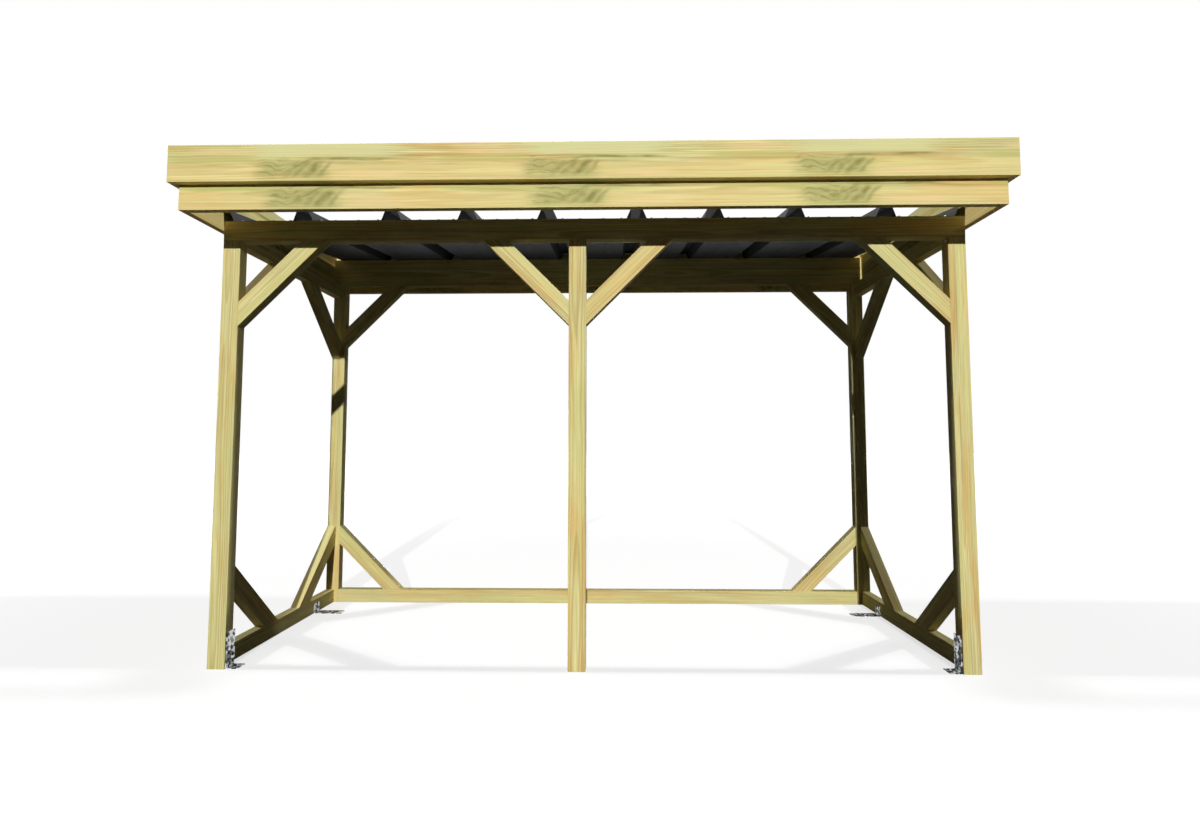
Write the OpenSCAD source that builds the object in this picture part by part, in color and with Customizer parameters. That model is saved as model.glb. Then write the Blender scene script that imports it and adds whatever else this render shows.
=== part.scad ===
// Open timber log store: five posts on the ground, rails and knee braces between
// them, three ribbed steel roof sheets falling to the front, and a two-step
// fascia ring that hides the edges of the roof. All sizes are in millimetres.
// The origin lies on the ground under the middle of the roof outline, +Z is up,
// +X runs to the right and +Y from the open front to the back.

/* [Frame] */
// Width over the outer faces of the corner posts
frame_w = 3000; // [2400:10:3600]
// Depth over the front and rear faces of the posts
frame_d = 970; // [900:10:1300]
// Height from the ground to the underside of the front beam and side rails
beam_z = 1707; // [1400:1:2100]
// How far the centre post stands left of the middle
centre_post_shift = 51; // [0:1:200]

/* [Timber] */
// Width of a post across the front
post_w = 70; // [60:1:100]
// Thickness of posts, rails, beams and braces
timber_t = 45; // [36:1:60]
// Height of the ground rails and top side rails
rail_h = 70; // [60:1:100]
// Height of the front beam at its front face
front_beam_h = 84; // [70:1:120]
// Width of a knee brace
brace_w = 70; // [50:1:90]
// Length of a knee brace along the post or rail, to its outer corner
brace_leg = 350; // [260:5:400]

/* [Fascia] */
// Thickness of a fascia board
fascia_t = 27; // [20:1:35]
// Height of a fascia board
fascia_h = 140; // [120:1:180]
// Height of the lower ring's bottom edge above the beam's underside
fascia_drop = 42; // [0:1:60]
// How far the upper ring's bottom edge lies above the lower ring's
fascia_step = 95; // [60:1:115]
// Open gap between the front posts and the front fascia
front_gap = 185; // [60:1:260]

/* [Roof] */
// How far the ribs' rear ends stay below the fascia's top
crown_gap = 0; // [0:1:30]
// Thickness of the roof sheet
sheet_t = 0.7; // [0.5:0.1:1]
// Height of a rib
rib_h = 45; // [35:1:50]
// Width of a rib at its foot
rib_foot_w = 81; // [60:1:100]
// Width of a rib at its crown
rib_crown_w = 41; // [20:1:50]
// Distance from a sheet's left edge to its first inner rib
rib_1_x = 325; // [250:1:340]
// Distance from a sheet's left edge to its second inner rib
rib_2_x = 688; // [600:1:700]
// How far the right-hand sheet stops short of the frame's outer face
last_sheet_trim = 8; // [0:1:15]

/* [Brackets] */
// Width of an angle bracket
bracket_w = 48; // [40:1:60]
// Thickness of an angle bracket
bracket_t = 3; // [2:0.5:4]
// Length of a bracket's long leg
bracket_long = 140; // [130:1:160]
// Length of a bracket's short leg
bracket_short = 48; // [45:1:65]
// Inner radius of a bracket's bend
bend_r = 3; // [2:0.5:5]
// Radius of a screw hole in a bracket's upright leg
screw_hole_r = 5; // [2.5:0.5:5.5]
// Radius of a ground anchor hole
anchor_r = 5.5; // [4:0.5:6.5]
// Distance between the two anchor holes side by side in a short leg
anchor_pitch = 24; // [20:1:26]
// Distance from a bracket's corner to the first anchor hole in a long leg
anchor_first = 69; // [60:1:72]
// Distance between the two anchor holes in line in a long leg
anchor_line_pitch = 45; // [30:1:50]
// Distance from a front bracket to the front face of its post
bracket_front_inset = 6; // [2:1:20]
// Distance from a rear bracket to the front face of the rear post
bracket_rear_inset = 160; // [60:1:200]

/* [Hidden] */
$fn = 48;

// Colours
post_col = [0.84, 0.79, 0.55];
rail_col = [0.80, 0.75, 0.50];
fascia_col = [0.87, 0.82, 0.60];
sheet_col = [0.24, 0.25, 0.26];
zinc_col = [0.68, 0.69, 0.70];

// Plan of the frame and the rings round it
ring_t = 2 * fascia_t;
roof_d = ring_t + front_gap + frame_d + ring_t;
front_y = -roof_d / 2 + ring_t + front_gap;
rear_y = front_y + frame_d;
half_w = frame_w / 2;
centre_x = -centre_post_shift;

// Inside of the lower ring
inner_front_y = front_y - front_gap;

// Heights
rear_beam_z = beam_z + rail_h;
roof_z = beam_z + front_beam_h;
lower_z = beam_z + fascia_drop;
upper_z = lower_z + fascia_step;

// A brace's inner corner, measured along the post
brace_inner = brace_leg - brace_w * sqrt(2);

// Roof sheets, which run back to the upper ring's rear board and rise as far as
// the fascia hides them
sheet_count = 3;
sheet_w = frame_w / sheet_count;
sheet_run = frame_d + fascia_t;
roof_rise = upper_z + fascia_h - crown_gap - rib_h - sheet_t - roof_z;
roof_angle = atan(roof_rise / sheet_run);
sheet_len = sheet_run / cos(roof_angle);

// Bracket screw holes, in two columns with staggered rows
screw_margin = 11;
screw_pitch = 24;
screw_columns = 24;

// Underside of the roof sheets at a given place from front to back
function roof_under(y) = roof_z + (y - front_y) * tan(roof_angle);

// A block between two corners
module block(low, high) {
  translate(low) cube(high - low);
}

// A post with its outer front corner at x and y
module post(x, y, h) {
  color(post_col) block([x, y, 0], [x + post_w, y + timber_t, h]);
}

// A timber along X whose top is cut to the slope of the roof
module sloped_beam(y, z) {
  color(rail_col)
    translate([-half_w, 0, 0])
      rotate([90, 0, 90])
        linear_extrude(frame_w)
          polygon([
            [y, z], [y + timber_t, z],
            [y + timber_t, roof_under(y + timber_t)], [y, roof_under(y)]
          ]);
}

// Outline of a knee brace in the corner of its post and rail, with both ends
// cut at 45 degrees; dir_a and dir_b are the signs of the ways its legs run
module brace_outline(dir_a, dir_b) {
  polygon([
    [dir_a * brace_inner, 0], [dir_a * brace_leg, 0],
    [0, dir_b * brace_leg], [0, dir_b * brace_inner]
  ]);
}

// A brace in the plane of the front or the back, with its corner at x and z
module brace_across(x, y, z, dir_x, dir_z) {
  color(rail_col)
    translate([x, y + timber_t, z])
      rotate([90, 0, 0])
        linear_extrude(timber_t)
          brace_outline(dir_x, dir_z);
}

// A brace in the plane of a side, with its corner at y and z
module brace_along(x, y, z, dir_y, dir_z) {
  color(rail_col)
    translate([x, y, z])
      rotate([90, 0, 90])
        linear_extrude(timber_t)
          brace_outline(dir_y, dir_z);
}

// Plan of a mitred board that runs along the front of a ring; side is half the
// ring's inner width
module mitred_plan(side, t) {
  polygon([[-side, 0], [side, 0], [side + t, -t], [-side - t, -t]]);
}

// One board of a ring. out is how far the ring's inner face lies outside the
// lower ring's inner face, and z is the board's bottom edge
module ring_front(out, z) {
  color(fascia_col)
    translate([0, inner_front_y - out, z])
      linear_extrude(fascia_h)
        mitred_plan(half_w + out, fascia_t);
}

module ring_rear(out, z) {
  color(fascia_col)
    translate([0, rear_y + out, z])
      linear_extrude(fascia_h)
        mirror([0, 1])
          mitred_plan(half_w + out, fascia_t);
}

// side is -1 for the left board and 1 for the right one
module ring_side(side, out, z) {
  y0 = inner_front_y - out;
  y1 = rear_y + out;
  x0 = half_w + out;
  color(fascia_col)
    translate([0, 0, z])
      linear_extrude(fascia_h)
        polygon([
          [side * x0, y0], [side * x0, y1],
          [side * (x0 + fascia_t), y1 + fascia_t],
          [side * (x0 + fascia_t), y0 - fascia_t]
        ]);
}

// Top line of one rib, as points from its left foot to its right foot
function rib_points(x, lift) = [
  [x - rib_foot_w / 2, lift], [x - rib_crown_w / 2, rib_h + lift],
  [x + rib_crown_w / 2, rib_h + lift], [x + rib_foot_w / 2, lift]
];

// Line of a sheet from the crown over its left edge to the crown over its right
// edge, raised by lift and cut short on the right by trim
function sheet_line(lift, trim) = concat(
  [[0, rib_h + lift], [rib_crown_w / 2, rib_h + lift], [rib_foot_w / 2, lift]],
  rib_points(rib_1_x, lift),
  rib_points(rib_2_x, lift),
  [
    [sheet_w - rib_foot_w / 2, lift],
    [sheet_w - rib_crown_w / 2, rib_h + lift], [sheet_w - trim, rib_h + lift]
  ]
);

function reversed(list) = [for (i = [len(list) - 1:-1:0]) list[i]];

// A ribbed roof sheet, counted from the left. It starts over the front beam's
// front edge and ends against the upper ring's rear board
module roof_sheet(index) {
  trim = index == sheet_count - 1 ? last_sheet_trim : 0;
  color(sheet_col)
    translate([-half_w + index * sheet_w, front_y, roof_z])
      rotate([roof_angle, 0, 0])
        translate([0, sheet_len, 0])
          rotate([90, 0, 0])
            linear_extrude(sheet_len)
              polygon(concat(sheet_line(0, trim), reversed(sheet_line(sheet_t, trim))));
}

// Outline of a bent plate, its upright leg along +Y and its ground leg along +X
module bent_plate(up_leg, ground_leg) {
  outer_r = bend_r + bracket_t;
  translate([0, outer_r]) square([bracket_t, up_leg - outer_r]);
  translate([outer_r, 0]) square([ground_leg - outer_r, bracket_t]);
  intersection() {
    square(outer_r);
    translate([outer_r, outer_r])
      difference() {
        circle(outer_r);
        circle(bend_r);
      }
  }
}

// Places of a ground leg's two anchor holes, from the bracket's corner and from
// its middle: in line in the long leg, and side by side in the short one
function anchor_spots(leg) = leg > bracket_short
  ? [for (k = [0, 1]) [anchor_first + k * anchor_line_pitch, 0]]
  : [for (side = [-1, 1]) [(leg + bracket_t) / 2, side * anchor_pitch / 2]];

// An angle bracket with its corner on the ground: the upright leg stands
// against the plane x = 0, the ground leg runs to +X, and y = 0 is its middle.
// The screw holes of the second column lie half a pitch below the first one's
module angle_bracket(up_leg, ground_leg) {
  lowest = bracket_t + bend_r + screw_hole_r;
  color(zinc_col)
    difference() {
      translate([0, bracket_w / 2, 0])
        rotate([90, 0, 0])
          linear_extrude(bracket_w)
            bent_plate(up_leg, ground_leg);
      for (side = [-1, 1])
        for (z = [up_leg - screw_margin - (side > 0 ? screw_pitch / 2 : 0) : -screw_pitch : lowest])
          translate([-1, side * screw_columns / 2, z])
            rotate([0, 90, 0]) cylinder(r = screw_hole_r, h = bracket_t + 2);
      for (spot = anchor_spots(ground_leg))
        translate([spot[0], spot[1], -1]) cylinder(r = anchor_r, h = bracket_t + 2);
    }
}

// A front bracket on the inner face of its post, with the long leg upright;
// side is -1 for the left one and 1 for the right one
module bracket_front(side) {
  y = front_y + bracket_front_inset + bracket_w / 2;
  translate([side * (half_w - post_w), y, 0])
    rotate([0, 0, side > 0 ? 180 : 0])
      angle_bracket(bracket_long, bracket_short);
}

// A rear bracket on the inner face of the ground rail, with the short leg
// upright and the long leg flat on the ground
module bracket_rear(side) {
  y = rear_y - timber_t - bracket_rear_inset - bracket_w / 2;
  translate([side * (half_w - timber_t), y, 0])
    rotate([0, 0, side > 0 ? 180 : 0])
      angle_bracket(bracket_short, bracket_long);
}

// Places that several timbers share
left_in = -half_w + post_w;
right_in = half_w - post_w;
rear_post_y = rear_y - timber_t;
front_post_back = front_y + timber_t;
left_x = -half_w;
right_x = half_w - timber_t;

// A timber along Y on the side whose outer face is at x, between the posts
module side_rail(x, z) {
  color(rail_col) block([x, front_post_back, z], [x + timber_t, rear_post_y, z + rail_h]);
}

module rail_ground_rear() {
  color(rail_col) block([left_in, rear_post_y, 0], [right_in, rear_y, rail_h]);
}

// Posts
post(-half_w, front_y, beam_z);  // post_front_left
post(centre_x - post_w / 2, front_y, beam_z);  // post_front_centre
post(right_in, front_y, beam_z);  // post_front_right
post(-half_w, rear_post_y, rear_beam_z);  // post_rear_left
post(right_in, rear_post_y, rear_beam_z);  // post_rear_right

// Rails and beams
rail_ground_rear();
side_rail(left_x, 0);  // rail_ground_left
side_rail(right_x, 0);  // rail_ground_right
sloped_beam(front_y, beam_z);  // beam_front
sloped_beam(rear_post_y, rear_beam_z);  // beam_rear
side_rail(left_x, beam_z);  // rail_top_left
side_rail(right_x, beam_z);  // rail_top_right

// Front braces, under the front beam
brace_across(left_in, front_y, beam_z, 1, -1);  // brace_front_left
brace_across(centre_x - post_w / 2, front_y, beam_z, -1, -1);  // brace_front_centre_left
brace_across(centre_x + post_w / 2, front_y, beam_z, 1, -1);  // brace_front_centre_right
brace_across(right_in, front_y, beam_z, -1, -1);  // brace_front_right

// Rear braces, under the rear beam and on the rear ground rail
brace_across(left_in, rear_post_y, rear_beam_z, 1, -1);  // brace_rear_top_left
brace_across(right_in, rear_post_y, rear_beam_z, -1, -1);  // brace_rear_top_right
brace_across(left_in, rear_post_y, rail_h, 1, 1);  // brace_rear_foot_left
brace_across(right_in, rear_post_y, rail_h, -1, 1);  // brace_rear_foot_right

// Side braces, under the top side rails and on the ground rails
brace_along(left_x, front_post_back, beam_z, 1, -1);  // brace_left_top_front
brace_along(left_x, rear_post_y, beam_z, -1, -1);  // brace_left_top_rear
brace_along(right_x, front_post_back, beam_z, 1, -1);  // brace_right_top_front
brace_along(right_x, rear_post_y, beam_z, -1, -1);  // brace_right_top_rear
brace_along(left_x, front_post_back, rail_h, 1, 1);  // brace_left_foot_front
brace_along(left_x, rear_post_y, rail_h, -1, 1);  // brace_left_foot_rear
brace_along(right_x, front_post_back, rail_h, 1, 1);  // brace_right_foot_front
brace_along(right_x, rear_post_y, rail_h, -1, 1);  // brace_right_foot_rear

// Fascia rings
ring_front(0, lower_z);  // fascia_lower_front
ring_rear(0, lower_z);  // fascia_lower_rear
ring_side(-1, 0, lower_z);  // fascia_lower_left
ring_side(1, 0, lower_z);  // fascia_lower_right
ring_front(fascia_t, upper_z);  // fascia_upper_front
ring_rear(fascia_t, upper_z);  // fascia_upper_rear
ring_side(-1, fascia_t, upper_z);  // fascia_upper_left
ring_side(1, fascia_t, upper_z);  // fascia_upper_right

// Roof sheets
roof_sheet(0);  // roof_sheet_left
roof_sheet(1);  // roof_sheet_middle
roof_sheet(2);  // roof_sheet_right

// Brackets
bracket_front(-1);  // bracket_front_left
bracket_front(1);  // bracket_front_right
bracket_rear(-1);  // bracket_rear_left
bracket_rear(1);  // bracket_rear_right
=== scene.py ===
# %% [markdown]
# # Open timber log store
#
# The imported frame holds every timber, board, roof sheet and bracket of the log store at its true size.
# Here each plain block becomes the thing it stands for: planed timber with eased edges and grain that
# runs along it, ribbed steel sheets with their roof screws, and galvanised angle brackets. Every place
# and size is read from the frame, so the looks always fit the construction.

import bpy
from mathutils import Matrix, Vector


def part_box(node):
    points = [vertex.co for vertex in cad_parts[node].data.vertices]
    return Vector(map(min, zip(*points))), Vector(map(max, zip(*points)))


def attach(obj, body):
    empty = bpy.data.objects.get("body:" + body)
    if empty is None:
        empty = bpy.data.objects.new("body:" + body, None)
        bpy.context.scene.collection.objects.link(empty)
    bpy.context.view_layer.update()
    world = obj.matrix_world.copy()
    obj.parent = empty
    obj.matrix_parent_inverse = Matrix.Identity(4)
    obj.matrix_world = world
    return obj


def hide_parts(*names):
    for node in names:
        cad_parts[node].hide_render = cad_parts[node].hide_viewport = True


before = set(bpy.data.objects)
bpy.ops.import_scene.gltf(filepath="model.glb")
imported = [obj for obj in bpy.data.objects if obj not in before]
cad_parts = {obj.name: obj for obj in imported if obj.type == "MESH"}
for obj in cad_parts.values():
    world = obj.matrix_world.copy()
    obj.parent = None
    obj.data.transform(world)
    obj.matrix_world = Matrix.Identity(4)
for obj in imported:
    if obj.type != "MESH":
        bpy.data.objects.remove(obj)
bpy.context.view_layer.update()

# %% Modules and axes
import math

import bpy
import numpy as np

ACROSS, BACK, UP = np.eye(3)
rng = np.random.default_rng(20)
print("axes: across", ACROSS, "back", BACK, "up", UP)

# %% [markdown]
# ## Camera
#
# The store is seen from a short distance with a wide lens, from a little right of its middle and about
# the height of a child's eyes. The lens looks a few degrees up, so the posts lean outwards slightly
# towards the ground. The camera is made first, so that every later step can be judged through it.

# %% Camera
EYE = (0.0799, -2.6271, 0.8917)
TILT_UP = 3.40
TURN_LEFT = 1.03

lens = bpy.data.cameras.new("viewer")
lens.lens = 16.92
lens.sensor_width = 36.0
camera = bpy.data.objects.new("viewer", lens)
camera.location = EYE
camera.rotation_euler = (math.radians(90 + TILT_UP), 0, math.radians(TURN_LEFT))
bpy.context.scene.collection.objects.link(camera)
bpy.context.scene.camera = camera
print("camera at", EYE, "with a", lens.lens, "mm lens")

# %% [markdown]
# ## From numbers to a mesh
#
# A shape is worked out as whole tables of points. One helper turns such a table into a mesh object. It
# also takes the exact direction that the surface faces at each point, so that a narrow rounded edge
# shades smoothly while the wide face beside it stays flat, and any other values that a finish needs.


# %% Mesh helpers
def unit(vectors):
    """Each vector divided by its own length."""
    return vectors / np.linalg.norm(vectors, axis=-1, keepdims=True)


def add_surface(name, points, faces, normals, **fields):
    """A mesh object from a table of points and a list of faces, each a row of point numbers. Every
    further field holds one number or one vector per point, and becomes an attribute of that name."""
    mesh = bpy.data.meshes.new(name)
    mesh.from_pydata(points.tolist(), [], faces)
    for field, values in fields.items():
        is_vector = values.ndim == 2
        attribute = mesh.attributes.new(field, "FLOAT_VECTOR" if is_vector else "FLOAT", "POINT")
        attribute.data.foreach_set("vector" if is_vector else "value", values.astype(np.float32).ravel())
    mesh.shade_smooth()
    mesh.normals_split_custom_set_from_vertices(normals.tolist())
    piece = bpy.data.objects.new(name, mesh)
    bpy.context.scene.collection.objects.link(piece)
    return piece


def tube_faces(rows, columns):
    """Quads of a tube whose point in row r and column c has the number r * columns + c. Each quad joins
    a point to the next column, which wraps round, and to the next row."""
    row, column = np.meshgrid(np.arange(rows - 1), np.arange(columns), indexing="ij")
    here = row * columns + column
    beside = row * columns + (column + 1) % columns
    return np.stack([here, beside, beside + columns, here + columns], axis=-1).reshape(-1, 4).tolist()


def box_corners(node):
    """Lowest and highest corner of a part of the frame, as two rows of numbers."""
    return np.array([list(corner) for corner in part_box(node)])


def node_points(node):
    """Every point of a part of the frame, as a table."""
    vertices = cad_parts[node].data.vertices
    points = np.empty(len(vertices) * 3, np.float32)
    vertices.foreach_get("co", points)
    return points.reshape(-1, 3).astype(float)


print("mesh helpers ready")

# %% [markdown]
# ## Planed timber
#
# Planed softwood never has knife-sharp edges: the planer eases them to a radius of about two
# millimetres, and a saw cut across the end is only just broken. That thin rounding is what catches the
# light and separates one timber from the next at every joint. So a timber is its outline with eased
# corners, carried along its length, and drawn in slightly at both end cuts.
#
# An end cut is a plane that may lean, which gives the knee braces their 45 degree ends and the fascia
# boards their mitres. Each point also keeps where it lay in the log: across from the pith, and along.

# %% Timber shape
EDGE_EASE = 0.002
CUT_EASE = 0.0007
LOG_SPREAD = 40


def eased_corners(before, corners, after, radius, steps=4):
    """Points on the rounded corners of a path, and the direction to the right of the path at each. Each
    corner C is a curve from A, a radius before it, to B, a radius after it:
    (1-t)^2 A + 2t(1-t) C + t^2 B, whose tangent is (1-t)(C-A) + t(B-C)."""
    a = (corners + radius * unit(before - corners))[:, None]
    b = (corners + radius * unit(after - corners))[:, None]
    c = corners[:, None]
    t = np.linspace(0, 1, steps + 1)[None, :, None]
    points = (1 - t) ** 2 * a + 2 * t * (1 - t) * c + t**2 * b
    tangent = unit((1 - t) * (c - a) + t * (b - c))
    right = np.stack([tangent[..., 1], -tangent[..., 0]], axis=-1)
    return points.reshape(-1, 2), right.reshape(-1, 2)


def eased_outline(corners, radius):
    """Closed outline of an anticlockwise polygon with eased corners, and the outward direction at each
    point, which is the right of the path."""
    return eased_corners(np.roll(corners, 1, axis=0), corners, np.roll(corners, -1, axis=0), radius)


def end_rings(outline, outward, cut, sign, ease=CUT_EASE, steps=2):
    """Rings of points at one end of a length, from the cut face to the full outline. cut holds the plane
    along = reach + lean * across, and sign is -1 for the start and 1 for the end. For t from 0 to 1 the
    outline is drawn in by ease (1-t)^2 and lies ease t^2 inside the cut."""
    reach, lean = cut[0], np.array(cut[1:])
    t = np.linspace(0, 1, steps + 1)[:, None, None]
    across = outline - ease * (1 - t) ** 2 * outward
    along = reach + across @ lean - sign * ease * t[..., 0] ** 2
    cut_normal = unit(sign * np.append(-lean, 1.0))
    side_normal = np.append(outward, np.zeros((len(outward), 1)), axis=1)
    normals = unit(t * side_normal + (1 - t) * cut_normal)
    return np.append(across, along[..., None], axis=-1), normals


def timber_shape(corners, start, end, radius=EDGE_EASE):
    """Points, outward directions and faces of a timber in its own axes: two across and one along."""
    outline, outward = eased_outline(corners, radius)
    first, first_normals = end_rings(outline, outward, start, -1)
    last, last_normals = end_rings(outline, outward, end, 1)
    rings = np.concatenate([first, last[::-1]])
    normals = np.concatenate([first_normals, last_normals[::-1]])
    rows, columns = rings.shape[:2]
    far_ring = list(range((rows - 1) * columns, rows * columns))
    caps = [list(range(columns))[::-1], far_ring]
    return rings.reshape(-1, 3), normals.reshape(-1, 3), tube_faces(rows, columns) + caps


def add_timber(name, axes, corners, start, end, pith, drift, first_patch=0.0):
    """A timber in place of the frame's part of that name. axes are its three directions: two across and
    one along. pith is how far the log's centre lies from the timber's own, and drift how far it moves
    sideways per metre, which draws the long pointed arches on a sawn face. first_patch is where along it
    its middle patch of curly grain lies. Each timber starts at its own place in LOG_SPREAD metres of
    grain, so that no two look alike."""
    local, normals, faces = timber_shape(np.array(corners), start, end)
    axes = np.array(axes)
    middle = np.array(corners).mean(axis=0)
    in_log = local.copy()
    in_log[:, :2] -= middle + pith + local[:, 2:] * drift
    in_log[:, 2] += rng.uniform(0, LOG_SPREAD)
    on_cut = np.zeros(len(local))
    columns = len(faces[-1])
    on_cut[:columns] = on_cut[-columns:] = 1
    foot = np.array(corners)[:, 0].min()
    on_board = np.stack([local[:, 2] - first_patch, local[:, 0] - foot, local[:, 1]], axis=-1)
    piece = add_surface(name + "_timber", local @ axes, faces, normals @ axes,
                        log=in_log, cut=on_cut, board=on_board)
    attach(piece, "root")
    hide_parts(name)
    return piece


print("timber edges eased by", EDGE_EASE * 1000, "mm, end cuts by", CUT_EASE * 1000, "mm")

# %% [markdown]
# ## Shader helpers
#
# Every finish here is grown from noise, so the node trees repeat a few steps: place a node, do a sum,
# stretch a coordinate, and mix two colours. Short helpers keep each material readable.


# %% Shader helpers
def srgb(red, green, blue):
    """A colour written as 0 to 255 numbers, turned to the linear values that shaders use."""
    share = np.array([red, green, blue]) / 255
    linear = np.where(share <= 0.04045, share / 12.92, ((share + 0.055) / 1.055) ** 2.4)
    return (*linear.tolist(), 1.0)


def place(tree, kind, feeds=None, **settings):
    """A new node. Settings are its own choices, such as a group's node_tree. Feeds maps an input's name
    or number to a fixed value, or to another node's output."""
    node = tree.nodes.new("ShaderNode" + kind)
    for key, value in settings.items():
        setattr(node, key, value)
    for key, value in (feeds or {}).items():
        if isinstance(value, bpy.types.NodeSocket):
            tree.links.new(value, node.inputs[key])
        else:
            node.inputs[key].default_value = value
    return node


def maths(tree, operation, *values):
    """The result of one sum."""
    return place(tree, "Math", dict(enumerate(values)), operation=operation).outputs[0]


def stretched(tree, vector, scale):
    """A vector multiplied part by part. A pattern on it gets that many times finer each way."""
    return place(tree, "VectorMath", {0: vector, 1: scale}, operation="MULTIPLY").outputs[0]


def noise(tree, vector, scale, detail=2.0, roughness=0.5):
    """Soft noise from 0 to 1, on a vector stretched by scale."""
    feeds = {"Vector": stretched(tree, vector, scale), "Scale": 1.0, "Detail": detail, "Roughness": roughness}
    return place(tree, "TexNoise", feeds).outputs[0]


def ramp(tree, value, low, high, bottom=0.0, top=1.0):
    """Rises smoothly from bottom to top while value goes from low to high."""
    feeds = {"Value": value, "From Min": low, "From Max": high, "To Min": bottom, "To Max": top}
    return place(tree, "MapRange", feeds, interpolation_type="SMOOTHSTEP").outputs[0]


def window(tree, value, low, high, soft):
    """1 while value lies between low and high, falling softly to 0 on both sides."""
    rise = ramp(tree, value, low - soft, low + soft)
    return maths(tree, "MULTIPLY", rise, ramp(tree, value, high - soft, high + soft, 1.0, 0.0))


def mixed(tree, share, first, second, blend="MIX"):
    """The first colour with a share of the second mixed in."""
    feeds = {0: share, 6: first, 7: second}
    return place(tree, "Mix", feeds, data_type="RGBA", blend_type=blend).outputs[2]


def new_group(name, inputs, outputs):
    """An empty shader group with named sockets. Returns the group, its inputs and its outputs."""
    group = bpy.data.node_groups.new(name, "ShaderNodeTree")
    for label, kind in inputs:
        group.interface.new_socket(label, in_out="INPUT", socket_type="NodeSocket" + kind)
    for label, kind in outputs:
        group.interface.new_socket(label, in_out="OUTPUT", socket_type="NodeSocket" + kind)
    arriving = group.nodes.new("NodeGroupInput").outputs
    leaving = group.nodes.new("NodeGroupOutput").inputs
    return group, arriving, leaving


def new_material(name, colour, **fixed):
    """A material with one Principled shader. colour is also what a plain viewport shows."""
    material = bpy.data.materials.new(name)
    material.diffuse_color = colour
    material.use_nodes = True
    tree = material.node_tree
    shader = next(node for node in tree.nodes if node.type == "BSDF_PRINCIPLED")
    shader.inputs["Base Color"].default_value = colour
    for label, value in fixed.items():
        shader.inputs[label.replace("_", " ")].default_value = value
    return material, tree, shader


print("shader helpers ready")

# %% [markdown]
# ## Softwood
#
# The timber is pressure-treated pine or spruce: pale straw with a green tinge, in soft stripes that run
# the length of the piece and turn tan in places. A flat wood picture would not fit timbers that run
# three ways and at 45 degrees. Instead the grain is solid, as in a log. The distance from the pith gives
# the year rings, so the long faces get stripes and arches and the cut ends get curved rings, all from
# one rule. Stretched noise adds the fibre, the stripes and the slow drift between straw, green and tan.

# %% Softwood group
SOFTWOOD_IN = [
    ("Log", "Vector"), ("Cut", "Float"), ("Ring Width", "Float"), ("Ring Depth", "Float"),
    ("Stripe Depth", "Float"), ("Tan Share", "Float"), ("Green Share", "Float"),
    ("Straw", "Color"), ("Late Wood", "Color"), ("Tan", "Color"), ("Green", "Color"),
]
SOFTWOOD_OUT = [("Color", "Color"), ("Roughness", "Float"), ("Height", "Float")]


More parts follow.
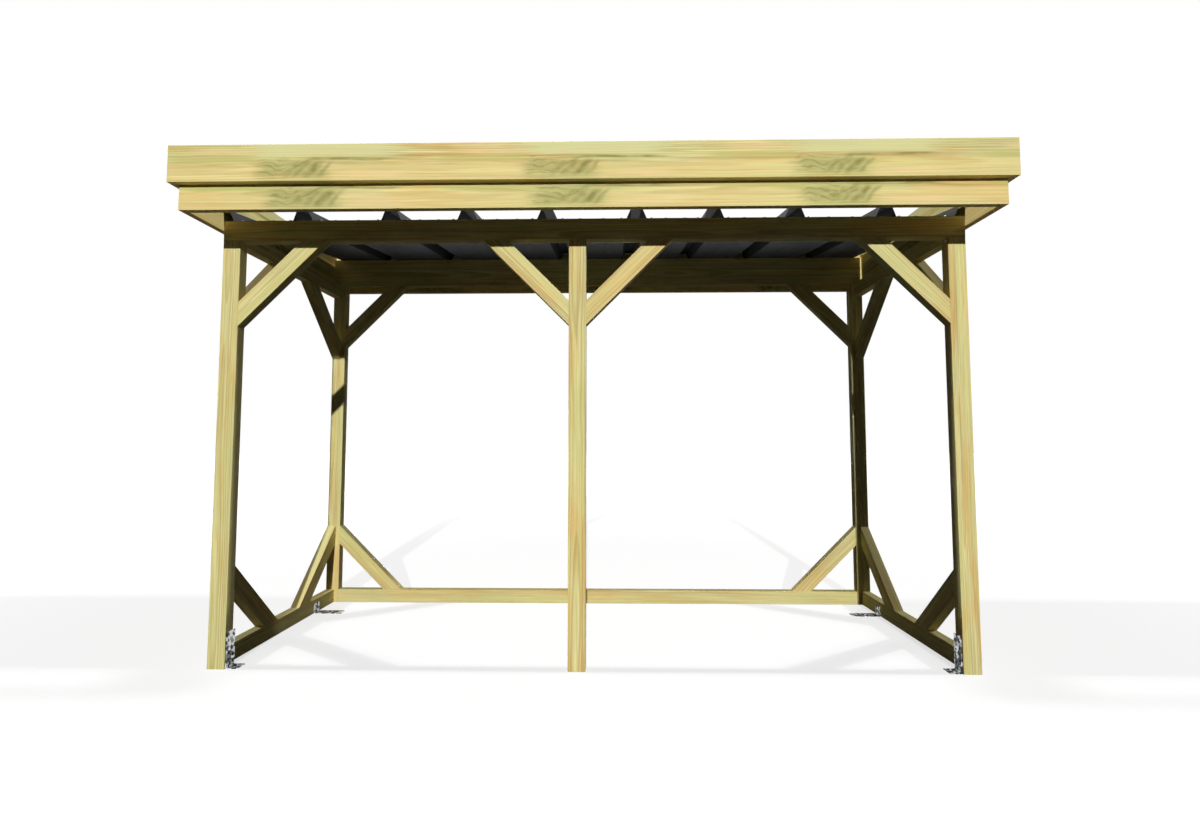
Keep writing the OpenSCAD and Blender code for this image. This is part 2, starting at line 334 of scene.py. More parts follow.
def build_softwood():
    """Solid wood. rings = distance from the pith, with a slow wander, over the ring width; the colour
    darkens smoothly through each ring and falls back at its end."""
    tree, given, result = new_group("softwood", SOFTWOOD_IN, SOFTWOOD_OUT)
    log = given["Log"]
    along_log = stretched(tree, log, (7, 7, 1.1))
    wander = place(tree, "TexNoise", {"Vector": along_log, "Scale": 1.0, "Detail": 2.0})
    shift = place(tree, "VectorMath", {0: wander.outputs[1], 1: (0.5, 0.5, 0.5)}, operation="SUBTRACT")
    shift = stretched(tree, shift.outputs[0], (0.022, 0.022, 0.0))
    moved = place(tree, "VectorMath", {0: log, 1: shift}, operation="ADD").outputs[0]
    flat = stretched(tree, moved, (1, 1, 0))
    radius = place(tree, "VectorMath", {0: flat}, operation="LENGTH").outputs["Value"]
    years = maths(tree, "DIVIDE", radius, given["Ring Width"])
    phase = maths(tree, "FRACT", years)
    late = maths(tree, "MULTIPLY", ramp(tree, phase, 0.25, 0.88), ramp(tree, phase, 0.9, 1.0, 1.0, 0.0))

    fibre = noise(tree, log, (900, 900, 14), detail=3)
    streak = noise(tree, moved, (210, 210, 2.6), detail=3, roughness=0.6)
    stripe = noise(tree, moved, (62, 62, 0.9), detail=2)
    zone = noise(tree, log, (5, 5, 1.7), detail=2)
    tan_zone = noise(tree, log, (22, 22, 2.3), detail=3, roughness=0.6)

    tan = ramp(tree, maths(tree, "ADD", tan_zone, maths(tree, "MULTIPLY", zone, 0.5)), 0.66, 0.92)
    green_zone = maths(tree, "SUBTRACT", maths(tree, "ADD", stripe, 0.35), maths(tree, "MULTIPLY", zone, 0.7))
    green = ramp(tree, green_zone, 0.42, 0.72)
    colour = mixed(tree, maths(tree, "MULTIPLY", tan, given["Tan Share"]), given["Straw"], given["Tan"])
    colour = mixed(tree, maths(tree, "MULTIPLY", green, given["Green Share"]), colour, given["Green"])
    ring_mask = maths(tree, "MULTIPLY", late, given["Ring Depth"])
    colour = mixed(tree, ring_mask, colour, given["Late Wood"])

    light = ramp(tree, stripe, 0.34, 0.66, -0.8, 0.8)
    light = maths(tree, "ADD", light, ramp(tree, streak, 0.3, 0.7, -0.8, 0.8))
    light = maths(tree, "MULTIPLY", light, given["Stripe Depth"])
    light = maths(tree, "ADD", light, ramp(tree, fibre, 0.2, 0.8, -0.07, 0.07))
    brightness = maths(tree, "ADD", light, 1.0)
    shade = place(tree, "CombineColor", {0: brightness, 1: brightness, 2: brightness}).outputs[0]
    colour = mixed(tree, 1.0, colour, shade, "MULTIPLY")

    end_shade = mixed(tree, maths(tree, "MULTIPLY", late, 0.7), (0.62, 0.60, 0.52, 1), (0.40, 0.36, 0.28, 1))
    colour = mixed(tree, given["Cut"], colour, mixed(tree, 1.0, colour, end_shade, "MULTIPLY"))
    tree.links.new(colour, result["Color"])

    rough = maths(tree, "SUBTRACT", 0.74, maths(tree, "MULTIPLY", late, 0.12))
    rough = maths(tree, "ADD", rough, ramp(tree, fibre, 0.2, 0.8, -0.06, 0.06))
    rough = maths(tree, "ADD", rough, maths(tree, "MULTIPLY", given["Cut"], 0.12))
    tree.links.new(rough, result["Roughness"])
    height = maths(tree, "ADD", maths(tree, "MULTIPLY", late, 0.5), maths(tree, "MULTIPLY", fibre, 0.6))
    tree.links.new(maths(tree, "ADD", height, maths(tree, "MULTIPLY", streak, 0.5)), result["Height"])
    return tree


softwood = build_softwood()
print("softwood group:", len(softwood.nodes), "nodes")

# %% [markdown]
# ## Curly figure
#
# On the fascia boards a grey-green patch returns about every metre. There the fibres ripple round
# a grown-over branch, and the face shows soft slanting strokes instead of straight lines. A dark line
# runs on from it, with a smooth pale strip above, an olive band before the next patch and peach streaks
# along the edges. Each of these is a mask: a soft window on how far along and how high a point lies.

# %% Curly figure group
FIGURE_IN = [("Board", "Vector"), ("Pitch", "Float")]
FIGURE_OUT = [(label, "Float") for label in ("Patch", "Strokes", "Line", "Band", "Clear", "Peach", "Cream")]
PATCH_PITCH = 0.987
PATCH_ALONG = (-0.128, 0.122, 0.042)  # from, to and softness, in metres, as in the next line
PATCH_UP = (0.012, 0.076, 0.014)
LINE_HEIGHT = 0.083
STROKE_LEAN = 0.87
STROKES = [  # start, width and depth
    (0.042, 0.03, 0.8), (0.084, 0.018, 0.5), (-0.004, 0.024, 0.5), (-0.045, 0.02, 0.4),
]


def build_figure():
    """u is how far a point lies from the nearest patch, along the board, and v how high it lies on the
    board. A stroke has its full depth on the slanting line u = start + lean * v and falls to 0 at its
    width. Noise bends u and v, so that no edge is straight."""
    tree, given, result = new_group("curly_figure", FIGURE_IN, FIGURE_OUT)
    board = given["Board"]
    parts = place(tree, "SeparateXYZ", {0: board}).outputs
    turns = maths(tree, "DIVIDE", parts[0], given["Pitch"])
    turns = maths(tree, "SUBTRACT", turns, maths(tree, "ROUND", turns))
    flat_u, flat_v = maths(tree, "MULTIPLY", turns, given["Pitch"]), parts[1]
    sway = maths(tree, "SUBTRACT", noise(tree, board, (11, 15, 11), detail=2), 0.5)
    lift = maths(tree, "SUBTRACT", noise(tree, board, (9, 34, 40), detail=2), 0.5)
    u = maths(tree, "MULTIPLY_ADD", sway, 0.05, flat_u)
    v = maths(tree, "MULTIPLY_ADD", lift, 0.022, flat_v)
    rag = maths(tree, "SUBTRACT", noise(tree, board, (5, 150, 150), detail=3, roughness=0.65), 0.5)
    ragged_u = maths(tree, "MULTIPLY_ADD", rag, 0.22, u)

    across = window(tree, maths(tree, "MULTIPLY_ADD", rag, 0.09, u), *PATCH_ALONG)
    inside = maths(tree, "MULTIPLY", across, window(tree, v, *PATCH_UP))
    blotch = ramp(tree, noise(tree, board, (28, 40, 28), detail=3), 0.3, 0.62, 0.55, 1.0)
    tree.links.new(maths(tree, "MULTIPLY", inside, blotch), result["Patch"])
    outside = maths(tree, "SUBTRACT", 1.0, across)
    tree.links.new(maths(tree, "MULTIPLY", outside, window(tree, v, -0.02, 0.066, 0.012)), result["Cream"])

    strokes = 0.0
    for start, width, depth in STROKES:
        off = maths(tree, "SUBTRACT", maths(tree, "MULTIPLY_ADD", v, -STROKE_LEAN, u), start)
        stroke = ramp(tree, maths(tree, "ABSOLUTE", off), 0.0, width, depth, 0.0)
        strokes = maths(tree, "MAXIMUM", strokes, stroke)
    strokes = maths(tree, "MULTIPLY", strokes, window(tree, v, 0.016, 0.07, 0.01))
    off = maths(tree, "SUBTRACT", maths(tree, "MULTIPLY_ADD", u, -0.5, v), 0.0485)
    smear = ramp(tree, maths(tree, "ABSOLUTE", off), 0.0, 0.012, 0.6, 0.0)
    smear = maths(tree, "MULTIPLY", smear, window(tree, u, -0.03, 0.065, 0.02))
    swirl = noise(tree, board, (13, 20, 13), detail=1)
    phase = maths(tree, "MULTIPLY_ADD", swirl, 21.0, maths(tree, "MULTIPLY", v, 300.0))
    curls = ramp(tree, maths(tree, "SINE", phase), 0.2, 1.0, 0.0, 0.5)
    curls = maths(tree, "MULTIPLY", curls, window(tree, u, -0.125, -0.01, 0.02))
    curls = maths(tree, "MULTIPLY", curls, window(tree, v, 0.02, 0.085, 0.01))
    strokes = maths(tree, "MAXIMUM", maths(tree, "MAXIMUM", strokes, smear), curls)
    tree.links.new(maths(tree, "MULTIPLY", strokes, blotch), result["Strokes"])

    drift = maths(tree, "SUBTRACT", noise(tree, board, (3.5, 0, 0), detail=1), 0.5)
    wavering = maths(tree, "MULTIPLY_ADD", drift, 0.022, flat_v)
    off_line = maths(tree, "ABSOLUTE", maths(tree, "SUBTRACT", wavering, LINE_HEIGHT))
    strength = ramp(tree, noise(tree, board, (9, 0, 0), detail=2), 0.3, 0.62, 0.3, 1.0)
    line = maths(tree, "MULTIPLY", ramp(tree, off_line, 0.001, 0.0085, 1.0, 0.0), strength)
    line_length = window(tree, flat_u, 0.055, 0.36, 0.05)
    tree.links.new(maths(tree, "MULTIPLY", line, line_length), result["Line"])
    band_length = ramp(tree, ragged_u, -0.17, -0.09, 1.0, 0.0)
    band_length = maths(tree, "MULTIPLY", band_length, ramp(tree, flat_u, -0.49, -0.4))
    band = maths(tree, "MULTIPLY", ramp(tree, off_line, 0.006, 0.02, 1.0, 0.0), band_length)
    tree.links.new(band, result["Band"])

    clear_length = window(tree, ragged_u, -0.13, 0.37, 0.07)
    clear = maths(tree, "MULTIPLY", ramp(tree, flat_v, 0.086, 0.098), clear_length)
    tree.links.new(clear, result["Clear"])
    top_length = window(tree, ragged_u, -0.37, -0.15, 0.06)
    foot_length = window(tree, ragged_u, 0.18, 0.4, 0.07)
    top = maths(tree, "MULTIPLY", top_length, window(tree, v, 0.102, 0.128, 0.01))
    foot = maths(tree, "MULTIPLY", foot_length, window(tree, v, 0.012, 0.036, 0.01))
    lines = ramp(tree, noise(tree, board, (2.2, 240, 240), detail=3), 0.36, 0.6, 0.35, 1.0)
    tree.links.new(maths(tree, "MULTIPLY", maths(tree, "MAXIMUM", top, foot), lines), result["Peach"])
    return tree


curly_figure = build_figure()
print("curly figure group:", len(curly_figure.nodes), "nodes")

# %% [markdown]
# ## Three timber finishes
#
# Posts, rails and braces come from the same sawmill, so they share the softwood group with slightly
# different stripes. The fascia boards are wider and more strongly marked, and add the curly figure.

# %% Timber materials
STRAW = srgb(227, 217, 155)
LATE_WOOD = srgb(172, 152, 84)
TAN = srgb(224, 186, 116)
GREEN = srgb(196, 196, 126)


def attribute(tree, name, output):
    """What the mesh keeps under that name."""
    return place(tree, "Attribute", attribute_name=name).outputs[output]


def timber_material(name, colours, **amounts):
    """A softwood finish. Returns the material, its tree, its shader and the wood's own node."""
    material, tree, shader = new_material(name, colours["Straw"], Specular_IOR_Level=0.08)
    feeds = {"Log": attribute(tree, "log", "Vector"), "Cut": attribute(tree, "cut", "Fac")}
    feeds.update(colours)
    feeds.update({label.replace("_", " "): value for label, value in amounts.items()})
    wood = place(tree, "Group", feeds, node_tree=softwood)
    tree.links.new(wood.outputs["Color"], shader.inputs["Base Color"])
    tree.links.new(wood.outputs["Roughness"], shader.inputs["Roughness"])
    bump = place(tree, "Bump", {"Height": wood.outputs["Height"], "Strength": 0.35, "Distance": 0.0006})
    tree.links.new(bump.outputs[0], shader.inputs["Normal"])
    return material, tree, shader, wood


straw_set = {"Straw": STRAW, "Late Wood": LATE_WOOD, "Tan": TAN, "Green": GREEN}
post_timber = timber_material("post_timber", straw_set, Ring_Width=0.0045, Ring_Depth=0.46,
                              Stripe_Depth=0.13, Tan_Share=0.85, Green_Share=0.6)[0]
frame_timber = timber_material("frame_timber", straw_set, Ring_Width=0.0038, Ring_Depth=0.42,
                               Stripe_Depth=0.13, Tan_Share=0.6, Green_Share=0.6)[0]
fascia_timber, tree, shader, wood = timber_material(
    "fascia_timber", straw_set, Ring_Width=0.0065, Ring_Depth=0.44,
    Stripe_Depth=0.17, Tan_Share=0.9, Green_Share=0.9)
on_board = attribute(tree, "board", "Vector")
figure = place(tree, "Group", {"Board": on_board, "Pitch": PATCH_PITCH}, node_tree=curly_figure)
FIGURE_COLOURS = {
    "Cream": (0.5, srgb(240, 219, 150)),
    "Clear": (0.7, srgb(224, 221, 162)),
    "Band": (0.6, srgb(196, 190, 112)),
    "Peach": (0.65, srgb(248, 217, 160)),
    "Patch": (0.85, srgb(182, 178, 112)),
    "Line": (0.9, srgb(146, 142, 82)),
    "Strokes": (0.9, srgb(126, 121, 64)),
}
colour = wood.outputs["Color"]
for label, (share, tint) in FIGURE_COLOURS.items():
    colour = mixed(tree, maths(tree, "MULTIPLY", figure.outputs[label], share), colour, tint)
whole = maths(tree, "SUBTRACT", 1.0, attribute(tree, "cut", "Fac"))
colour = mixed(tree, whole, wood.outputs["Color"], colour)
tree.links.new(colour, shader.inputs["Base Color"])
print("timber finishes:", post_timber.name, frame_timber.name, fascia_timber.name)

# %% [markdown]
# ## Square-cut timbers
#
# Posts, rails and side rails are sawn square, so their boxes in the frame say everything. Posts stand,
# so their grain runs up. Rails lie, and theirs runs along their longest side.

# %% Posts and rails


def pith_and_drift(width, thickness):
    """Where a timber was sawn from its log. The pith lies outside it, beyond one wide face, and drifts
    sideways by a few millimetres per metre."""
    side = rng.choice([-1, 1])
    pith = np.array([rng.uniform(-0.3, 0.3) * width, side * rng.uniform(0.7, 1.6) * thickness])
    drift = np.array([rng.uniform(-0.004, 0.004), rng.uniform(-0.009, 0.009)])
    return pith, drift


def rectangle(low, high):
    """Corners of a rectangle, anticlockwise."""
    return np.array([[low[0], low[1]], [high[0], low[1]], [high[0], high[1]], [low[0], high[1]]])


def add_square_cut(name, axes, material):
    """A timber that fills its box in the frame, with its length along the third axis."""
    axes = np.array(axes)
    low, high = np.sort(box_corners(name) @ axes.T, axis=0)
    pith, drift = pith_and_drift(*(high - low)[:2])
    piece = add_timber(name, axes, rectangle(low, high), (low[2], 0, 0), (high[2], 0, 0), pith, drift)
    piece.data.materials.append(material)


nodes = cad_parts
STANDING = (ACROSS, BACK, UP)
LYING_BACK = (UP, ACROSS, BACK)
LYING_ACROSS = (BACK, UP, ACROSS)

for name in sorted(nodes):
    if name.startswith("post_"):
        add_square_cut(name, STANDING, post_timber)
    elif name == "rail_ground_rear":
        add_square_cut(name, LYING_ACROSS, frame_timber)
    elif name.startswith("rail_"):
        add_square_cut(name, LYING_BACK, frame_timber)
print("square-cut timbers:", sorted(n for n in nodes if n.startswith(("post_", "rail_"))))

# %% [markdown]
# ## Roof beams
#
# The front and the rear beam lie on the posts, and their tops are planed to the fall of the roof, so
# that the sheets lie flat on them. The fall is the rise between the two beams' rear edges.

# %% Roof beams
front_beam, rear_beam = box_corners("beam_front"), box_corners("beam_rear")
roof_fall = (rear_beam[1, 2] - front_beam[1, 2]) / (rear_beam[1, 1] - front_beam[1, 1])

for name, (low, high) in (("beam_front", front_beam), ("beam_rear", rear_beam)):
    front_top = high[2] - roof_fall * (high[1] - low[1])
    corners = [[low[1], low[2]], [high[1], low[2]], [high[1], high[2]], [low[1], front_top]]
    pith, drift = pith_and_drift(high[2] - low[2], high[1] - low[1])
    piece = add_timber(name, LYING_ACROSS, corners, (low[0], 0, 0), (high[0], 0, 0),
                       pith[::-1], drift)
    piece.data.materials.append(frame_timber)
print("the roof falls", round(math.degrees(math.atan(roof_fall)), 2), "degrees to the front")

# %% [markdown]
# ## Knee braces
#
# A knee brace fills the corner between an upright and a rail. Both its ends are cut at 45 degrees, so
# it is a timber along the diagonal whose two end planes lean opposite ways. Its corner in the frame is
# where its upright and its rail meet, and the brace's inner and outer edges are read from its own points.

# %% Knee braces


def add_brace(name, side_way, up_way):
    """A brace whose corner lies at the origin of two ways: side_way along the rail and up_way along the
    upright. Across it points away from the corner, and along it points from the rail to the upright."""
    points = node_points(name)
    low, high = points.min(axis=0), points.max(axis=0)
    corner = np.where(side_way + up_way > 0, low, high)
    across, along = unit(side_way + up_way), unit(up_way - side_way)
    thick = np.cross(along, across)
    axes = np.array([across, thick, along])
    inner_to_outer = (points - corner) @ across
    spread = (points - corner) @ thick
    base = corner @ axes.T
    corners = rectangle((inner_to_outer.min() + base[0], spread.min() + base[1]),
                        (inner_to_outer.max() + base[0], spread.max() + base[1]))
    start = (base[2] + base[0], -1, 0)
    end = (base[2] - base[0], 1, 0)
    pith, drift = pith_and_drift(*(corners[2] - corners[0]))
    piece = add_timber(name, axes, corners, start, end, pith, drift)
    piece.data.materials.append(frame_timber)


BRACES = {
    "brace_front_left": (ACROSS, -UP), "brace_front_centre_left": (-ACROSS, -UP),
    "brace_front_centre_right": (ACROSS, -UP), "brace_front_right": (-ACROSS, -UP),
    "brace_rear_top_left": (ACROSS, -UP), "brace_rear_top_right": (-ACROSS, -UP),
    "brace_rear_foot_left": (ACROSS, UP), "brace_rear_foot_right": (-ACROSS, UP),
}
for side in ("left", "right"):
    BRACES[f"brace_{side}_top_front"] = (BACK, -UP)
    BRACES[f"brace_{side}_top_rear"] = (-BACK, -UP)
    BRACES[f"brace_{side}_foot_front"] = (BACK, UP)
    BRACES[f"brace_{side}_foot_rear"] = (-BACK, UP)
for name, (side_way, up_way) in BRACES.items():
    add_brace(name, side_way, up_way)
print("knee braces:", len(BRACES))

# %% [markdown]
# ## Fascia rings
#
# Two rings of boards hide the edge of the roof, the upper one stepped out over the lower one. Their
# corners are mitred: each board is longer on its outer face than on its inner one by its own thickness
# at both ends, so its end planes lean at 45 degrees.

# %% Fascia boards
FIRST_PATCH = {"lower": -0.069, "upper": -0.099}


def add_fascia(name, outward, along, first_patch):
    """A mitred board that faces outward. Its first axis points up, its second outward."""
    axes = np.array([UP, outward, along])
    if np.linalg.det(axes) < 0:
        axes[2] = -axes[2]
    low, high = np.sort(box_corners(name) @ axes.T, axis=0)
    start = (low[2] + high[1], 0, -1)
    end = (high[2] - high[1], 0, 1)
    pith = np.array([rng.uniform(-0.02, 0.02), rng.uniform(-0.055, -0.035)])
    drift = np.array([0.0, rng.uniform(-0.006, 0.006)])
    piece = add_timber(name, axes, rectangle(low, high), start, end,
                       pith, drift, first_patch)
    piece.data.materials.append(fascia_timber)


WAYS = {"front": (-BACK, ACROSS), "rear": (BACK, ACROSS), "left": (-ACROSS, BACK), "right": (ACROSS, BACK)}
for level in ("lower", "upper"):
    for side, (outward, along) in WAYS.items():
        add_fascia(f"fascia_{level}_{side}", outward, along, FIRST_PATCH[level])
print("fascia boards:", 2 * len(WAYS))

# %% [markdown]
# ## The shape of a roof sheet
#
# A trapezoidal roof sheet is one thin coil of coated steel, rolled into tall ribs with flat pans between
# them. Rollers can't make a sharp bend, and they press shallow stiffening beads into the pans. Where two
# sheets meet, the next one's first rib lies over the last rib of the one before.
#
# The bends' places are read from the frame. The sheet is its bent middle line, given half its thickness
# to each side and carried down the slope. Its top end is cut upright, against the fascia's rear board.

# %% Sheet shape
SHEETS = ("roof_sheet_left", "roof_sheet_middle", "roof_sheet_right")
SHEET_THICKNESS = 0.0007
SHEET_EASE = 0.00012
BEND_REACH = 0.0018
BEAD_HEIGHT = 0.0012
BEAD_PROFILE = (-0.007, -0.004, 0.004, 0.007)  # its foot, top, top and foot, across from its middle
LEAST_PAN = 0.1
LAP_STEP = 0.0009
LAP_GAP = 0.001
LIP = (0.0055, 0.0124)  # how far a lap's lip reaches across and down
RIB_SLACK = 0.0006
END_BAND = 0.0005
LEVEL_BAND = 0.0001

up_slope = unit(BACK + roof_fall * UP)
SHEET_AXES = np.array([ACROSS, np.cross(ACROSS, up_slope), -up_slope])


def sheet_line(name):
    """Corners of a sheet's underside, as places across and heights square to it, from its lower end. The
    ribs are drawn a little lower than full height, so that the lap on them stays inside the frame."""
    local = node_points(name) @ SHEET_AXES.T
    end = local[local[:, 2] > local[:, 2].max() - END_BAND]
    places, which = np.unique(end[:, 0].round(5), return_inverse=True)
    heights = np.full(len(places), np.inf)
    np.minimum.at(heights, which.ravel(), end[:, 1])
    low, high = heights.min(), heights.max()
    heights -= RIB_SLACK * (heights - low) / (high - low)
    return np.stack([places, heights], axis=-1)


def with_beads(line):
    """A line with two shallow beads pressed into each pan, a low stretch wider than LEAST_PAN."""
    low = line[:, 1].min() + LEVEL_BAND
    pieces = [line[:1]]
    for start, end in zip(line[:-1], line[1:]):
        if start[1] < low and end[1] < low and end[0] - start[0] > LEAST_PAN:
            for middle in (start[0] + (end[0] - start[0]) * np.array([1, 2]) / 3):
                across = middle + np.array(BEAD_PROFILE)
                lift = start[1] + BEAD_HEIGHT * np.array([0, 1, 1, 0])
                pieces.append(np.stack([across, lift], axis=-1))
        pieces.append(end[None])
    return np.concatenate(pieces)


def with_laps(line, over, under):
    """A line whose first rib reaches over the sheet before, and whose last rib reaches under the next."""
    crown = line[1, 0] - line[0, 0]
    top = line[0, 1]
    if under:
        line[-2:, 1] -= LAP_STEP
        line[-1, 0] += crown - LAP_GAP
    if over:
        line[0, 0] -= crown + LAP_STEP
        line = np.concatenate([[[line[0, 0] - LIP[0], top - LIP[1]]], line])
    return line


def sheet_shape(line, start, end):
    """Points, outward directions and faces of a thin sheet. Its outline runs along the underside and back
    along the top: middle line plus and minus half the thickness times the direction square to it."""
    bends, right = eased_corners(line[:-2], line[1:-1], line[2:], BEND_REACH)
    first, last = unit(line[1] - line[0]), unit(line[-1] - line[-2])
    middle = np.concatenate([line[:1], bends, line[-1:]])
    middle[:, 1] += SHEET_THICKNESS / 2
    square = np.concatenate([[[first[1], -first[0]]], right, [[last[1], -last[0]]]])
    half = SHEET_THICKNESS / 2 * square
    outline = np.concatenate([middle + half, (middle - half)[::-1]])
    outward = np.concatenate([square, -square[::-1]])
    far, far_normals = end_rings(outline, outward, start, -1, ease=SHEET_EASE)
    near, near_normals = end_rings(outline, outward, end, 1, ease=SHEET_EASE)
    rings = np.concatenate([far, near[::-1]])
    normals = np.concatenate([far_normals, near_normals[::-1]])
    rows, columns = rings.shape[:2]
    j = np.arange(len(middle) - 1)
    cap = np.stack([j, j + 1, columns - 2 - j, columns - 1 - j], axis=-1)
    caps = cap[:, ::-1].tolist() + (cap + (rows - 1) * columns).tolist()
    return rings.reshape(-1, 3), normals.reshape(-1, 3), tube_faces(rows, columns) + caps


print("sheets", SHEET_THICKNESS * 1000, "mm thick, laps stepped by", LAP_STEP * 1000, "mm")

# %% [markdown]
# ## Coated steel
#
# The sheets are dark grey and satin. On a roof the coating never looks even: rain draws dust down the
# slope in faint streaks and leaves it in the pans, and the underside stays clean and dull. The mesh says
# which side is the top, so the dust lies only there.

# %% Coated steel
coated_steel, tree, shader = new_material("coated_steel", srgb(52, 54, 57), Specular_IOR_Level=0.12)
slope = attribute(tree, "slope", "Vector")
on_top = attribute(tree, "top", "Fac")
streaks = noise(tree, slope, (26, 26, 1.1), detail=4, roughness=0.6)
clouds = noise(tree, slope, (3, 3, 2.2), detail=3)
grit = noise(tree, slope, (700, 700, 700), detail=2)
dust = maths(tree, "MULTIPLY", ramp(tree, streaks, 0.42, 0.75), ramp(tree, clouds, 0.3, 0.7, 0.35, 1.0))
dust = maths(tree, "MULTIPLY", maths(tree, "MULTIPLY", dust, on_top), 0.30)
colour = mixed(tree, ramp(tree, grit, 0.35, 0.65), srgb(48, 50, 53), srgb(56, 58, 61))
colour = mixed(tree, dust, colour, srgb(150, 143, 128))
tree.links.new(colour, shader.inputs["Base Color"])
rough = maths(tree, "ADD", ramp(tree, grit, 0.3, 0.7, 0.46, 0.58), maths(tree, "MULTIPLY", dust, 0.8))
tree.links.new(rough, shader.inputs["Roughness"])
bump = place(tree, "Bump", {"Height": grit, "Strength": 0.12, "Distance": 0.0002})
tree.links.new(bump.outputs[0], shader.inputs["Normal"])
print("coated steel:", len(tree.nodes), "nodes")

# %% [markdown]
# ## Roof sheets
#
# Three sheets lie side by side. The second and third reach over the one before, and the first and second
# reach under the next, so only the outermost edges stay plain.

# %% Roof sheets
for index, name in enumerate(SHEETS):
    line = with_laps(with_beads(sheet_line(name)), over=index > 0, under=index < len(SHEETS) - 1)
    low, high = box_corners(name)
    local = node_points(name) @ SHEET_AXES.T
    steepness = math.hypot(1, roof_fall)
    upright_cut = (-high[1] * steepness, 0, -roof_fall)
    points, normals, faces = sheet_shape(line, upright_cut, (local[:, 2].max(), 0, 0))
    top = (normals[:, 1] > 0).astype(float)
    piece = add_surface(name + "_steel", points @ SHEET_AXES, faces, normals @ SHEET_AXES,
                        slope=points, top=top)
    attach(piece, "root")
    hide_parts(name)
    piece.data.materials.append(coated_steel)
    print(name, "has", len(line), "bends and reaches", round(float(np.ptp(points[:, 0])), 3), "m across")

# %% [markdown]
# ## Galvanised steel
#
# The angle brackets are punched from hot-dip galvanised strip. The zinc freezes in flat crystals, and rain
# leaves a dull white bloom on it. Cells of noise give the crystals. Each crystal's base colour runs from near
# black to near white, which is painted reflection of shaded surroundings and painted glints rather than the
# zinc's own colour. Soft noise gives the bloom. The brackets keep the frame's own shape, which has every
# hole.

# %% Galvanised steel
galvanised, tree, shader = new_material("galvanised_steel", srgb(176, 180, 184),
                                        Metallic=0.85, Specular_IOR_Level=0.5)
place_on = place(tree, "TexCoord").outputs["Object"]
spangles = stretched(tree, place_on, (84, 84, 68))
crystals = place(tree, "TexVoronoi", {"Vector": spangles, "Scale": 1.0, "Randomness": 1.0})
crystal_and_painted_glint = place(tree, "SeparateColor", {0: crystals.outputs["Color"]}).outputs[0]
bloom = ramp(tree, noise(tree, place_on, (38, 38, 38), detail=4, roughness=0.6), 0.45, 0.7)
# Painted reflection and glint: the crystals go from near black, standing for mirrored shade, to near-white
# highlights.
colour = mixed(tree, ramp(tree, crystal_and_painted_glint, 0.35, 0.8), srgb(40, 43, 47), srgb(226, 230, 233))
colour = mixed(tree, maths(tree, "MULTIPLY", bloom, 0.22), colour, srgb(198, 200, 199))
tree.links.new(colour, shader.inputs["Base Color"])
rough = maths(tree, "MULTIPLY_ADD", bloom, 0.22, 0.3)
rough = maths(tree, "ADD", rough, maths(tree, "MULTIPLY", crystal_and_painted_glint, 0.14))
tree.links.new(rough, shader.inputs["Roughness"])
bump = place(tree, "Bump", {"Height": maths(tree, "ADD", crystal_and_painted_glint, bloom), "Strength": 0.12, "Distance": 0.0003})
tree.links.new(bump.outputs[0], shader.inputs["Normal"])

for name in sorted(nodes):
    if name.startswith("bracket_"):
        nodes[name].data.materials.clear()
        nodes[name].data.materials.append(galvanised)
        print(name, "galvanised")

# %% [markdown]
# ## Roof screws
#
# A roof sheet is held by hexagon-headed screws that drill their own way through the pans into the beams
# below, each with a broad washer that seals its hole. One screw is a turned profile, whose head is pulled
# out to a hexagon: its radius at each angle is the flat's distance over the cosine of how far the angle
# is from the middle of that flat. All the screws of a sheet are one piece.

# %% Roof screws
SCREW_FROM_RIB = 0.022
SCREW_PROFILE = np.array([
    # radius, height, how hexagonal
    [0.0002, 0.0000, 0], [0.0078, 0.0000, 0], [0.0080, 0.0005, 0], [0.0076, 0.0014, 0], [0.0062, 0.0018, 0],
    [0.0060, 0.0026, 0], [0.0042, 0.0029, 1], [0.0041, 0.0068, 1], [0.0036, 0.0074, 0.6], [0.0002, 0.0076, 0],
])


def screw_shape(sides=24):
    """Points, outward directions and faces of one screw that stands on the plane of the first two axes.
    A point is (r cos a, r sin a, h), with r widened to the hexagon where the profile asks for it."""
    radius, height, hexagonal = SCREW_PROFILE.T[:, :, None]
    angle = np.linspace(0, 2 * np.pi, sides, endpoint=False)[None]
    off_flat = (angle + np.pi / 6) % (np.pi / 3) - np.pi / 6
    reach = radius * (1 + hexagonal * (1 / np.cos(off_flat) - 1))
    points = np.stack([reach * np.cos(angle), reach * np.sin(angle), height + 0 * angle], axis=-1)
    slope = np.gradient(SCREW_PROFILE[:, :2], axis=0)[:, None]
    flat = slope[..., 1:] * np.stack([np.cos(angle), np.sin(angle)], axis=-1)
    normals = unit(np.concatenate([flat, np.broadcast_to(-slope[..., :1], flat.shape[:2] + (1,))], axis=-1))
    rows = len(SCREW_PROFILE)
    ring = list(range(sides))
    faces = tube_faces(rows, sides) + [ring[::-1], [(rows - 1) * sides + i for i in ring]]
    return points.reshape(-1, 3), normals.reshape(-1, 3), faces


screw_points, screw_normals, screw_faces = screw_shape()
beam_middles = np.array([front_beam.mean(axis=0)[1], rear_beam.mean(axis=0)[1]])

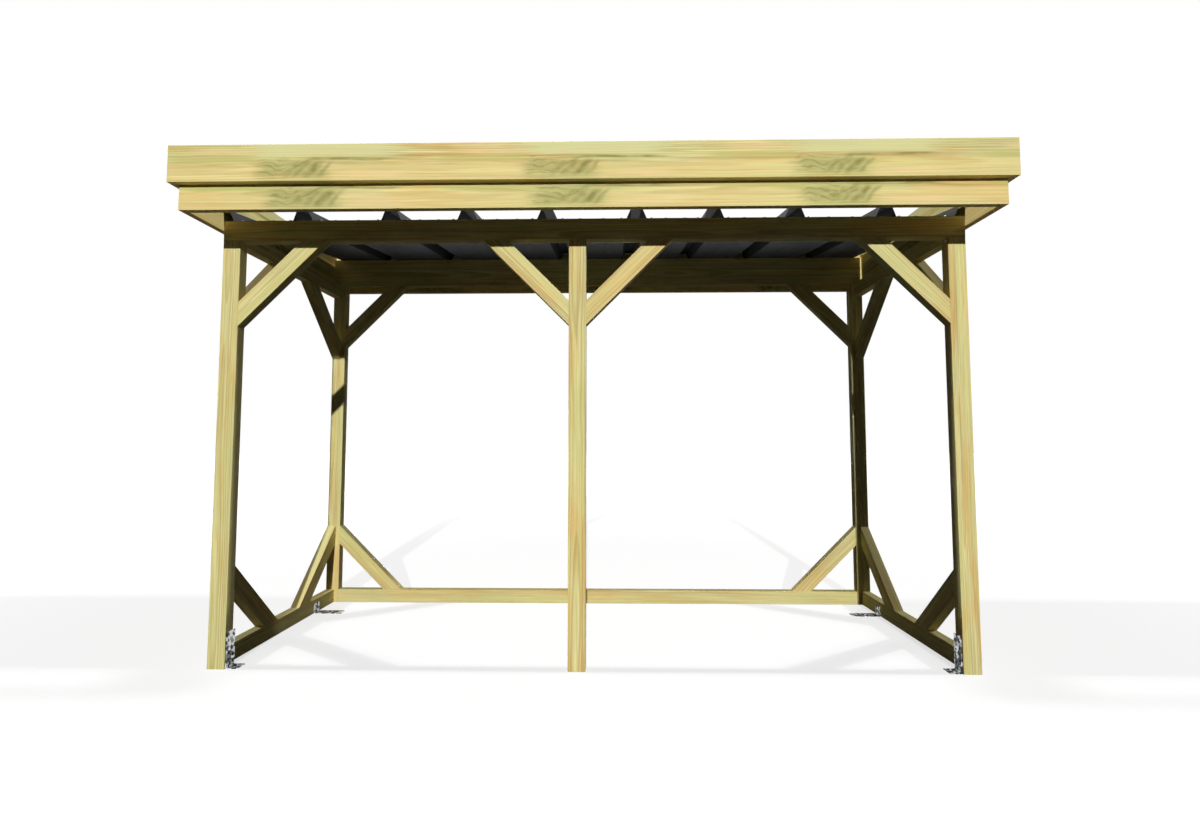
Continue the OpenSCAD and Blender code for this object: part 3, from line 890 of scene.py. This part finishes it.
for name in SHEETS:
    line = sheet_line(name)
    low = line[:, 1].min()
    feet = line[line[:, 1] < low + LEVEL_BAND, 0].reshape(-1, 2)
    places = np.append(feet[:, 0] + SCREW_FROM_RIB, feet[:, 1] - SCREW_FROM_RIB)
    across, back = np.meshgrid(places, -beam_middles * math.hypot(1, roof_fall) - roof_fall * low)
    centres = np.stack([across, np.full_like(across, low + SHEET_THICKNESS), back], axis=-1).reshape(-1, 1, 3)
    tilted = np.array([[1, 0, 0], [0, 0, -1], [0, 1, 0]], float)
    points = (screw_points @ tilted + centres).reshape(-1, 3) @ SHEET_AXES
    normals = np.tile(screw_normals @ tilted, (len(centres), 1)) @ SHEET_AXES
    shifts = range(0, len(points), len(screw_points))
    faces = [[i + shift for i in face] for shift in shifts for face in screw_faces]
    piece = add_surface(name + "_screws", points, faces, normals)
    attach(piece, "root")
    piece.data.materials.append(galvanised)
    print(name, "is held by", len(centres), "screws")

# %% [markdown]
# ## Floor
#
# The floor looks white and shows the store's shadow faintly. A floor that really gave back so much light
# would lighten every underside, and the roof space of a real store is dark. So the floor is dark to
# light that bounces, and pale to what the eye sees, directly or in a mirror finish. It fades to full
# white a few metres out, so that it has no visible far edge.

# %% Floor
FLOOR_HALF = 40.0
FLOOR_GREY = (0.32, 0.32, 0.32, 1)
FLOOR_GREY_TO_LIGHT = (0.01, 0.01, 0.01, 1)
NEAR_GLOW, FAR_GLOW = 0.69, 1.0
FADE_FROM, FADE_TO = 2.0, 8.0


def visible_rays(tree):
    """1 for what is seen directly, in a mirror finish or through glass, and 0 for light that bounces."""
    path = place(tree, "LightPath").outputs
    seen = maths(tree, "MAXIMUM", path["Is Camera Ray"], path["Is Glossy Ray"])
    return maths(tree, "MAXIMUM", seen, path["Is Transmission Ray"])


floor_material, tree, shader = new_material("pale_floor", srgb(176, 176, 174),
                                            Roughness=0.9, Specular_IOR_Level=0.0)
seen = visible_rays(tree)
tree.links.new(mixed(tree, seen, FLOOR_GREY_TO_LIGHT, FLOOR_GREY), shader.inputs["Base Color"])
on_floor = place(tree, "TexCoord").outputs["Object"]
away = place(tree, "VectorMath", {0: on_floor}, operation="LENGTH").outputs["Value"]
brightness = maths(tree, "MULTIPLY", seen, ramp(tree, away, FADE_FROM, FADE_TO, NEAR_GLOW, FAR_GLOW))
glow = place(tree, "Emission", {"Color": (1, 1, 1, 1), "Strength": brightness})
both = place(tree, "AddShader", {0: shader.outputs[0], 1: glow.outputs[0]})
output = next(node for node in tree.nodes if node.type == "OUTPUT_MATERIAL")
tree.links.new(both.outputs[0], output.inputs["Surface"])

ground = FLOOR_HALF * np.array([[-1, -1, 0], [1, -1, 0], [1, 1, 0], [-1, 1, 0]], float)
floor = add_surface("floor", ground, [[0, 1, 2, 3]], np.tile(UP, (4, 1)))
floor.data.materials.append(floor_material)
print("floor", 2 * FLOOR_HALF, "m wide")

# %% [markdown]
# ## Light and surroundings
#
# One lamp far in front, at less than half its distance in height, lights the front as a low sun does: the
# posts and fascia are bright, the braces throw slanting shadows on the back, and the roof space stays
# dark. Three weaker lights from both sides and from behind make the store readable all round. The side
# ones come down at about 30 degrees, so that the roof shades most of the inside of the opposite side. The
# one behind is low, so it can't shine over the rear boards onto the inside of the front ones and from
# there into the dark.

# %% Light
MAIN_LAMP = (1.40, -38.6, 14.8)
MAIN_POWER = 65000.0
MAIN_RADIUS = 0.35
SUNS = {  # strength, then azimuth, elevation and width in degrees
    "right_light": (1.8, 90, 31, 2),
    "left_light": (1.8, 270, 31, 2),
    "back_light": (1.7, 180, 0.8, 1.5),
}
BOUNCED_SKY = 0.012

data = bpy.data.lights.new("main_lamp", "POINT")
data.energy = MAIN_POWER
data.shadow_soft_size = MAIN_RADIUS
lamp = bpy.data.objects.new("main_lamp", data)
lamp.location = MAIN_LAMP
bpy.context.scene.collection.objects.link(lamp)


def add_sun(name, strength, azimuth, elevation, softness):
    """A far light. azimuth is the way it comes from, anticlockwise from the front seen from above, and
    softness is how wide it looks, all in degrees."""
    data = bpy.data.lights.new(name, "SUN")
    data.energy = strength
    data.angle = math.radians(softness)
    lamp = bpy.data.objects.new(name, data)
    lamp.rotation_euler = (math.radians(90 - elevation), 0, math.radians(azimuth))
    bpy.context.scene.collection.objects.link(lamp)


for name, settings in SUNS.items():
    add_sun(name, *settings)

world = bpy.data.worlds.new("surroundings")
bpy.context.scene.world = world
world.use_nodes = True
tree = world.node_tree
sky = next(node for node in tree.nodes if node.type == "BACKGROUND")
sky.inputs["Color"].default_value = (1, 1, 1, 1)
fill = maths(tree, "ADD", maths(tree, "MULTIPLY", visible_rays(tree), 1 - BOUNCED_SKY), BOUNCED_SKY)
tree.links.new(fill, sky.inputs["Strength"])
bpy.context.scene.view_settings.view_transform = "Standard"
print("lights and surroundings ready")
